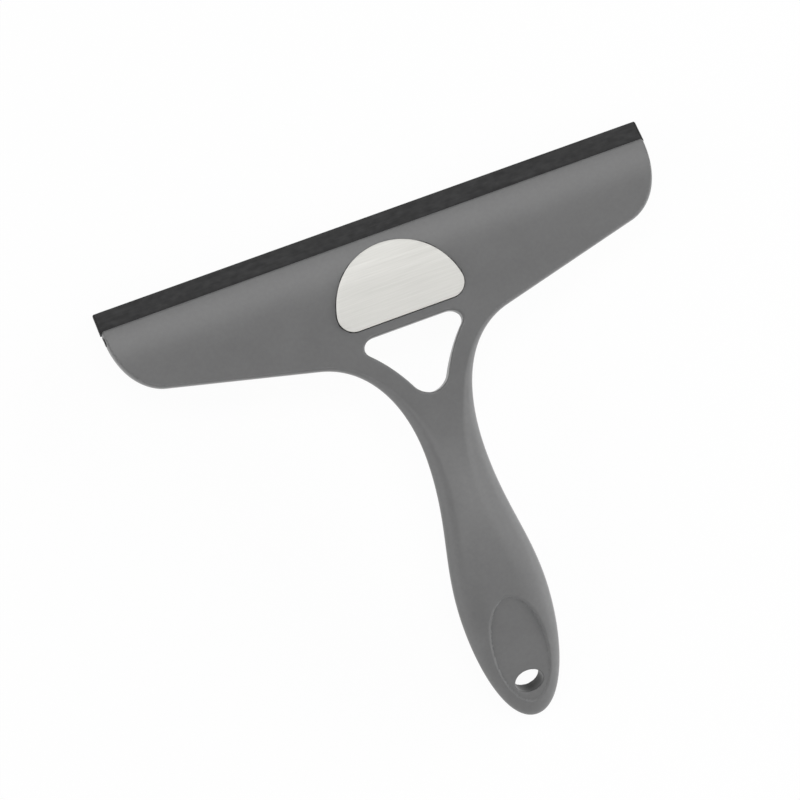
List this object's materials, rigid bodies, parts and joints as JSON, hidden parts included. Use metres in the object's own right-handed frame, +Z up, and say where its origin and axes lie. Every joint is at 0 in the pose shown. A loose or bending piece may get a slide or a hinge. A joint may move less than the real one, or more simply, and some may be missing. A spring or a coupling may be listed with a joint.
{
  "type": "window squeegee",
  "caption": "Hand-held window squeegee: a bowed grey plastic head and waisted grip with a slide-in rubber blade, a triangular window, a brushed metal plate and a hang hole.",
  "frame": {"origin": "middle of the footprint on the table that the squeegee lies on, back down", "axes": "+X along the blade, +Y from the grip to the blade, +Z up, the way the front with its plate faces"},
  "size_m": [0.24, 0.2196, 0.0272],
  "materials": {
    "body_plastic": "satin moulded grey plastic with a fine even grain",
    "blade_rubber": "matt extruded rubber",
    "badge_metal": "fine brushed stainless steel",
    "adhesive_foam": "matt adhesive tape"
  },
  "bodies": {
    "handle": {"handle_body": "body_plastic", "badge_plate": "badge_metal", "badge_adhesive": "adhesive_foam"},
    "blade": {"rubber_blade": "blade_rubber"}
  },
  "joints": [
    {"name": "blade_slide", "type": "slide", "parent": "handle", "child": "blade", "axis": [1, 0, 0], "range_m": [-0.24, 0.24]}
  ]
}
